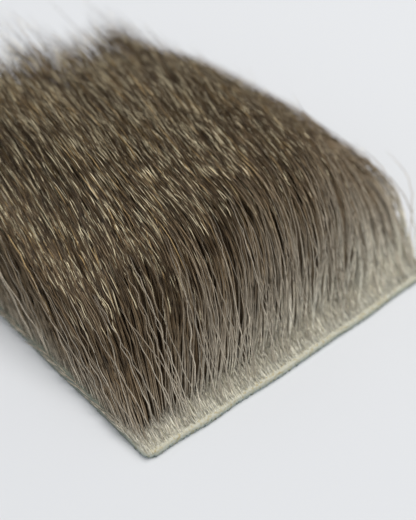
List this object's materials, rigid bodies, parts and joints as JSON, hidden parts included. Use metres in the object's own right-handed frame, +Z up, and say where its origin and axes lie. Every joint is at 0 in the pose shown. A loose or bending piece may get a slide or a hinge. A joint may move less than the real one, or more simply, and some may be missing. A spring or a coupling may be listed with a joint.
{
  "type": "deer hair patch",
  "caption": "Rectangle of tanned deer hide with the hair on, flesh side down; dense stiff hair rises from the grain side, leans back and overhangs the rear edge.",
  "frame": {"origin": "under the middle of the skin, on the surface that the patch lies on", "axes": "+Z up, out of the coat; +Y the way the hair leans; +X along the front edge"},
  "size_m": [0.049, 0.0676, 0.0229],
  "materials": {
    "hide": "matte cream grain with a grey cut edge",
    "hair": "dry hair, pale grey at the root, dark brown above, banded at the tip"
  },
  "bodies": {
    "root": {"hide": "hide", "pile": "hair"}
  },
  "joints": []
}
